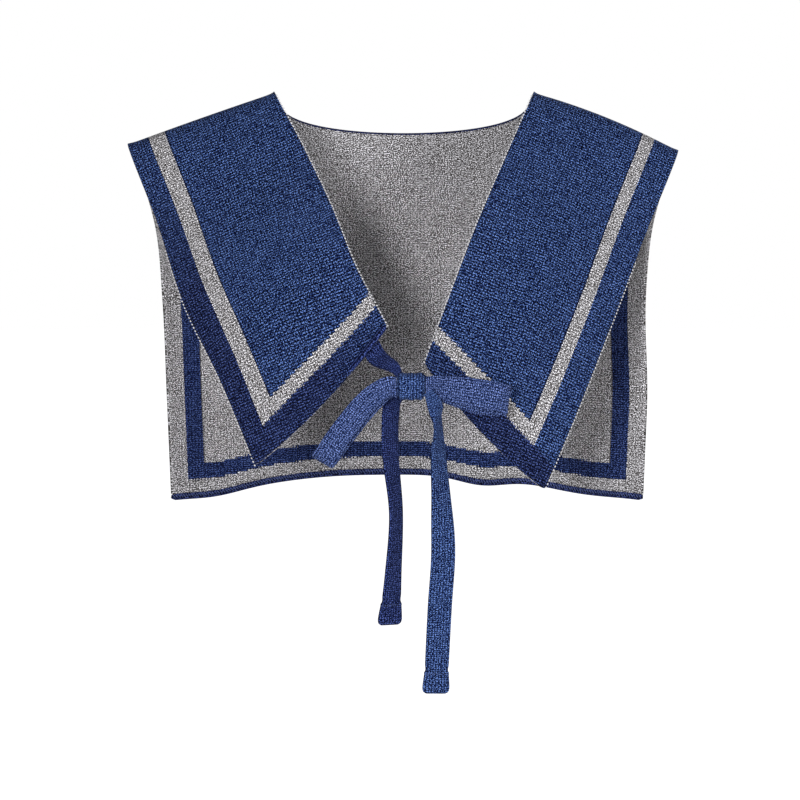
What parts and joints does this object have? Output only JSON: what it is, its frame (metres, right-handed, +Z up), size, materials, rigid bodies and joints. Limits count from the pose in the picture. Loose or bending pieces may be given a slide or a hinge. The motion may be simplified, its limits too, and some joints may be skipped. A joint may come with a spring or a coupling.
{
  "type": "sailor collar",
  "caption": "Knitted sailor collar in its worn form, with a striped border, two pointed lapels, a square back panel and a tie in a bow at the front.",
  "frame": {"origin": "midway between the two neck points, the inner ends of the shoulder ridges, where the collar sits on the shoulders", "axes": "+Z up, -Y towards the front where the tie is, +X towards the viewer's right"},
  "size_m": [0.4024, 0.2182, 0.4244],
  "materials": {
    "collar_knit": "double-face knit, heather blue outside and light grey melange inside, with the colours exchanged in the border stripe",
    "welt_knit": "navy tubular knit",
    "tie_knit": "heather blue flat knit"
  },
  "bodies": {
    "root": {"collar_body": "collar_knit", "hem_welt": "welt_knit", "knot": "tie_knit", "tie_lead_left": "tie_knit", "tie_lead_right": "tie_knit", "bow_loop_left": "tie_knit", "bow_loop_right": "tie_knit", "tail_short": "tie_knit", "tail_long": "tie_knit"}
  },
  "joints": []
}
